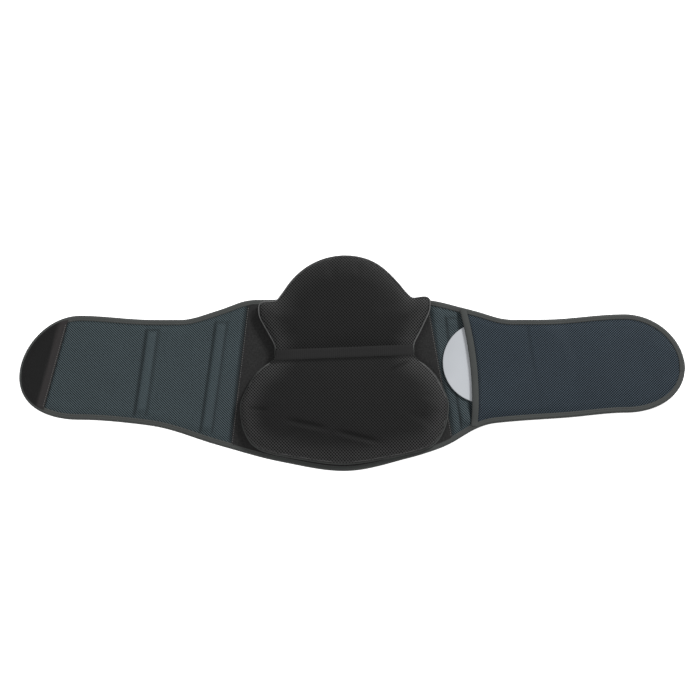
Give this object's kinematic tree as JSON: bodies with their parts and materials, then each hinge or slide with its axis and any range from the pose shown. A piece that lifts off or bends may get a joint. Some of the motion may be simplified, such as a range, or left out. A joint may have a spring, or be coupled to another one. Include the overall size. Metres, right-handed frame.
{
  "type": "lumbar support belt",
  "caption": "Lumbar support belt laid open: shaped mesh belt with stays, hook end, pocket with a slide-in plate, and a removable back cushion.",
  "frame": {"origin": "bottom centre of the whole belt's bounding box, on the surface that the belt lies on", "axes": "+X along the belt, towards the pocket end; +Y towards the wearer's head; +Z out of the inner face, towards the wearer"},
  "size_m": [0.95, 0.3064, 0.027],
  "materials": {
    "outer_loop": "brushed loop fabric, dull",
    "wing_mesh": "blue-black spacer mesh, slight sheen",
    "stay_tape": "blue-black mesh tape, stitched",
    "binding": "woven elastic tape, dull",
    "velour": "brushed velour, soft sheen",
    "hook": "fine moulded hooks, satin",
    "stay_steel": "spring steel, satin",
    "plate_plastic": "satin moulded plastic",
    "stiffener": "plain plastic sheet",
    "pad_mesh": "black spacer mesh, dull",
    "foam": "soft foam, matt",
    "band": "ribbed elastic band, dull"
  },
  "bodies": {
    "back": {"back_shell": "outer_loop", "back_lining": "wing_mesh", "back_binding": "binding", "velour_panel": "velour"},
    "left_side": {"left_side_shell": "outer_loop", "left_side_lining": "wing_mesh", "left_side_binding": "binding", "left_inner_stay": "stay_steel", "left_inner_stay_tape": "stay_tape"},
    "left_front": {"left_front_shell": "outer_loop", "left_front_lining": "wing_mesh", "left_front_binding": "binding", "left_outer_stay": "stay_steel", "left_outer_stay_tape": "stay_tape"},
    "left_end": {"left_end_shell": "outer_loop", "left_end_lining": "wing_mesh", "left_end_binding": "binding", "hook_patch": "hook"},
    "right_side": {"right_side_shell": "outer_loop", "right_side_lining": "wing_mesh", "right_side_binding": "binding", "right_inner_stay": "stay_steel", "right_inner_stay_tape": "stay_tape", "right_outer_stay": "stay_steel", "right_outer_stay_tape": "stay_tape", "right_side_pocket": "wing_mesh", "pocket_mouth_tape": "binding"},
    "right_front": {"right_front_shell": "outer_loop", "right_front_lining": "wing_mesh", "right_front_binding": "binding", "right_front_pocket": "wing_mesh"},
    "right_end": {"right_end_shell": "outer_loop", "right_end_lining": "wing_mesh", "right_end_binding": "binding", "right_end_pocket": "wing_mesh"},
    "plate": {"plate": "plate_plastic"},
    "pad": {"pad_cover": "pad_mesh", "pad_back": "velour", "pad_upper_foam": "foam", "pad_lower_foam": "foam", "pad_upper_plate": "stiffener", "pad_lower_plate": "stiffener", "pad_hook_upper": "hook", "pad_hook_lower": "hook", "pad_cross_band": "band"}
  },
  "joints": [
    {"name": "left_side_fold", "type": "hinge", "parent": "back", "child": "left_side", "pos_m": [-0.161, 0, 0.005], "axis": [0.1115, 0.9938, 0], "range_deg": [0, 80]},
    {"name": "left_front_fold", "type": "hinge", "parent": "left_side", "child": "left_front", "pos_m": [-0.242, 0, 0.005], "axis": [0.1305, 0.9914, 0], "range_deg": [0, 40]},
    {"name": "left_end_fold", "type": "hinge", "parent": "left_front", "child": "left_end", "pos_m": [-0.362, 0, 0.005], "axis": [0.1736, 0.9848, 0], "range_deg": [0, 50]},
    {"name": "right_side_fold", "type": "hinge", "parent": "back", "child": "right_side", "pos_m": [0.128, 0, 0.005], "axis": [0.1736, -0.9848, 0], "range_deg": [0, 80]},
    {"name": "right_front_fold", "type": "hinge", "parent": "right_side", "child": "right_front", "pos_m": [0.323, 0, 0.0102], "axis": [0.0872, -0.9962, 0], "range_deg": [0, 60]},
    {"name": "right_end_fold", "type": "hinge", "parent": "right_front", "child": "right_end", "pos_m": [0.4, 0, 0.0102], "axis": [0.0523, -0.9986, 0], "range_deg": [0, 40]},
    {"name": "plate_slide", "type": "slide", "parent": "right_side", "child": "plate", "axis": [0.9932, -0.1167, 0], "range_m": [0, 0.05]},
    {"name": "pad_lift", "type": "slide", "parent": "back", "child": "pad", "axis": [0, 0, 1], "range_m": [0, 0.04]}
  ]
}
